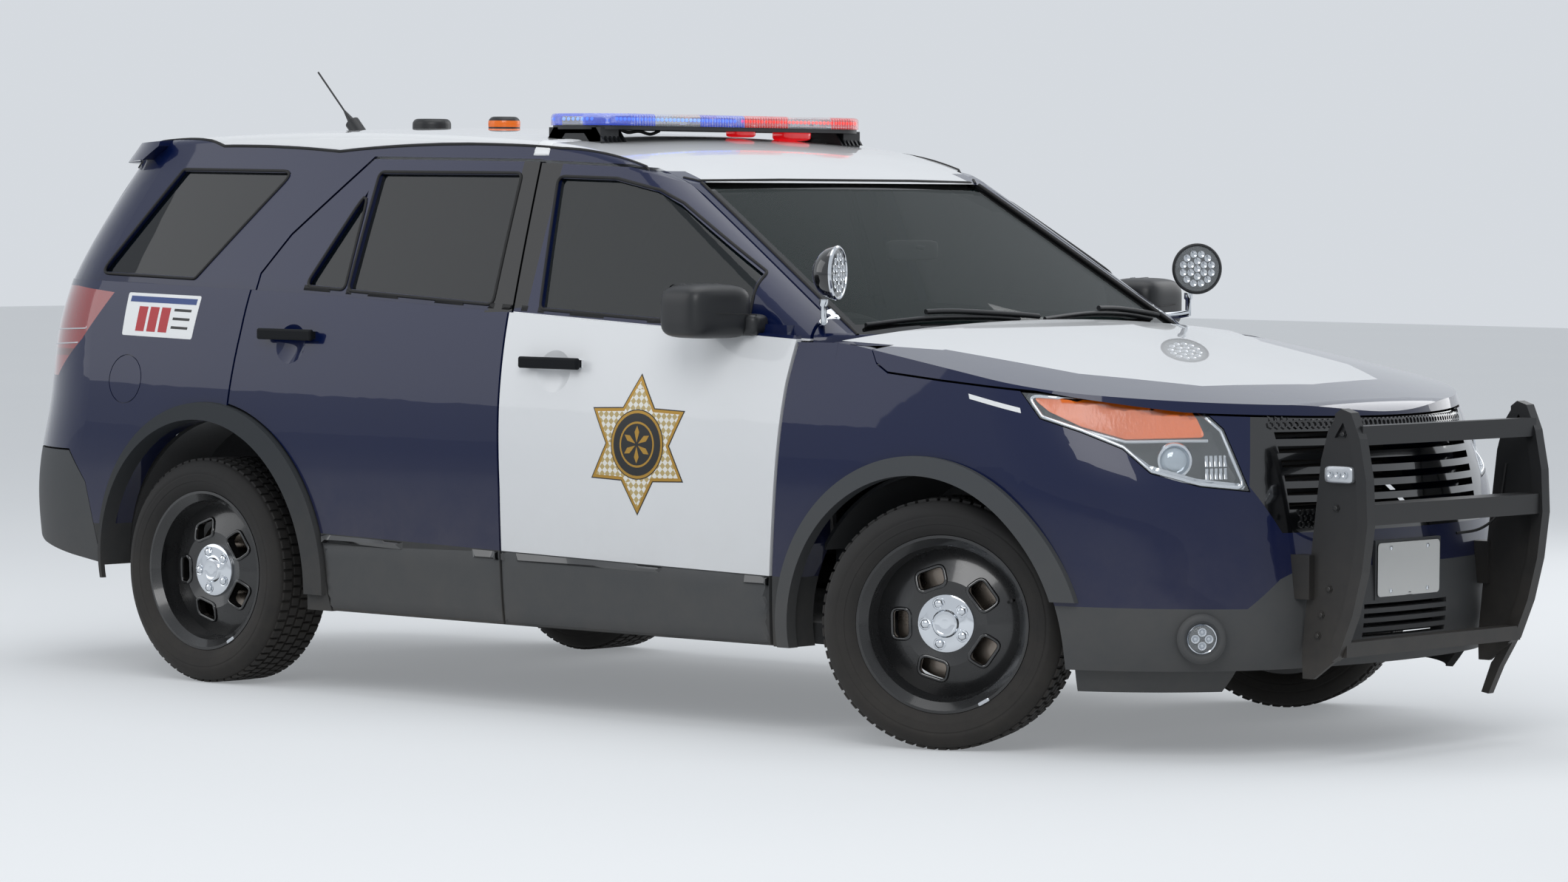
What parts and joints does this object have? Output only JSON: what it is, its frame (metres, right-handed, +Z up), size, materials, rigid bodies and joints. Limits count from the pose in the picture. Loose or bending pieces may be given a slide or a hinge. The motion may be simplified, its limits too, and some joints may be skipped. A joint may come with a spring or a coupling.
{
  "type": "police suv",
  "caption": "Four door police utility vehicle with push bumper, roof light bar and pillar spotlights; doors, hood, liftgate, steering and wheels move.",
  "frame": {"origin": "middle of the bounding box on the ground", "axes": "+X forward to the car's nose, +Y to its left, +Z up"},
  "size_m": [5.1647, 2.2948, 1.9112],
  "materials": {
    "body_paint": "gloss",
    "white_paint": "gloss",
    "grey_plastic": "matte",
    "black_plastic": "satin",
    "glass": "gloss",
    "lamp_clear": "gloss",
    "lamp_red": "gloss",
    "lens": "gloss",
    "tyre": "matte",
    "rim_steel": "satin",
    "chassis_iron": "matte",
    "bumper_steel": "matte",
    "black_gloss": "gloss",
    "floor_paint": "matte",
    "seat_cloth": "matte"
  },
  "bodies": {
    "body": {"arch_flare_left": "grey_plastic", "arch_flare_right": "grey_plastic", "body_side_left": "body_paint", "body_side_right": "body_paint", "bulkhead": "floor_paint", "bumper_front_lower": "grey_plastic", "bumper_front_upper": "body_paint", "bumper_rear": "grey_plastic", "dashboard": "black_plastic", "engine": "chassis_iron", "fender_left": "body_paint", "fender_right": "body_paint", "floor_pan": "floor_paint", "front_cross_member": "chassis_iron", "grille": "black_plastic", "headlamp_left": "lamp_clear", "headlamp_right": "lamp_clear", "light_bar_base": "black_plastic", "light_bar_lens": "lens", "push_bumper": "bumper_steel", "quarter_glass_left": "glass", "quarter_glass_right": "glass", "rear_carrier": "chassis_iron", "roof_aerials": "black_plastic", "roof_panel": "white_paint", "seat_front_left": "seat_cloth", "seat_front_right": "seat_cloth", "seat_rear": "seat_cloth", "spotlight_left": "black_gloss", "spotlight_right": "black_gloss", "steering_wheel": "black_plastic", "tail_lamp_left": "lamp_red", "tail_lamp_right": "lamp_red", "wheel_liner_left": "grey_plastic", "wheel_liner_right": "grey_plastic", "windshield": "glass"},
    "knuckle_right": {"knuckle_right": "chassis_iron"},
    "knuckle_left": {"knuckle_left": "chassis_iron"},
    "wheel_front_right": {"wheel_front_right": "rim_steel", "tyre_front_right": "tyre"},
    "door_front_right": {"door_front_right": "white_paint", "window_front_right": "glass", "mirror_right": "grey_plastic"},
    "wheel_rear_right": {"wheel_rear_right": "rim_steel", "tyre_rear_right": "tyre"},
    "door_rear_right": {"door_rear_right": "body_paint", "window_rear_right": "glass"},
    "wheel_front_left": {"wheel_front_left": "rim_steel", "tyre_front_left": "tyre"},
    "door_front_left": {"door_front_left": "white_paint", "window_front_left": "glass", "mirror_left": "grey_plastic"},
    "wheel_rear_left": {"wheel_rear_left": "rim_steel", "tyre_rear_left": "tyre"},
    "door_rear_left": {"door_rear_left": "body_paint", "window_rear_left": "glass"},
    "hood": {"hood": "white_paint"},
    "liftgate": {"liftgate": "body_paint", "liftgate_glass": "glass"}
  },
  "joints": [
    {"name": "steer_right", "type": "hinge", "parent": "body", "child": "knuckle_right", "pos_m": [1.4413, -0.78, 0.348], "axis": [0, 0, 1], "range_deg": [-57, 9]},
    {"name": "steer_left", "type": "hinge", "parent": "body", "child": "knuckle_left", "pos_m": [1.4413, 0.78, 0.348], "axis": [0, 0, 1], "range_deg": [-57, 9]},
    {"name": "spin_front_right", "type": "hinge", "parent": "knuckle_right", "child": "wheel_front_right", "pos_m": [1.47018, -0.84486, 0.348], "axis": [-0.4067, 0.9135, 0], "continuous": true},
    {"name": "spin_rear_right", "type": "hinge", "parent": "body", "child": "wheel_rear_right", "pos_m": [-1.4187, -0.851, 0.348], "axis": [0, 1, 0], "continuous": true},
    {"name": "spin_front_left", "type": "hinge", "parent": "knuckle_left", "child": "wheel_front_left", "pos_m": [1.41242, 0.84486, 0.348], "axis": [-0.4067, 0.9135, 0], "continuous": true},
    {"name": "spin_rear_left", "type": "hinge", "parent": "body", "child": "wheel_rear_left", "pos_m": [-1.4187, 0.851, 0.348], "axis": [0, 1, 0], "continuous": true},
    {"name": "door_front_right_hinge", "type": "hinge", "parent": "body", "child": "door_front_right", "pos_m": [1.0233, -0.965, 0.7], "axis": [0, 0.0698, 0.9976], "range_deg": [0, 64]},
    {"name": "door_rear_right_hinge", "type": "hinge", "parent": "body", "child": "door_rear_right", "pos_m": [-0.0667, -0.97, 0.7], "axis": [0, 0.0698, 0.9976], "range_deg": [0, 66]},
    {"name": "door_front_left_hinge", "type": "hinge", "parent": "body", "child": "door_front_left", "pos_m": [1.0233, 0.965, 0.7], "axis": [0, 0.0698, -0.9976], "range_deg": [0, 64]},
    {"name": "door_rear_left_hinge", "type": "hinge", "parent": "body", "child": "door_rear_left", "pos_m": [-0.0667, 0.97, 0.7], "axis": [0, 0.0698, -0.9976], "range_deg": [0, 66]},
    {"name": "hood_hinge", "type": "hinge", "parent": "body", "child": "hood", "pos_m": [1.1083, 0, 1.152], "axis": [0, -1, 0], "range_deg": [0, 50]},
    {"name": "liftgate_hinge", "type": "hinge", "parent": "body", "child": "liftgate", "pos_m": [-2.1147, 0, 1.702], "axis": [0, 1, 0], "range_deg": [0, 75]}
  ],
  "couplings": [
    {"joint": "steer_left", "follows": "steer_right", "ratio": 1}
  ]
}
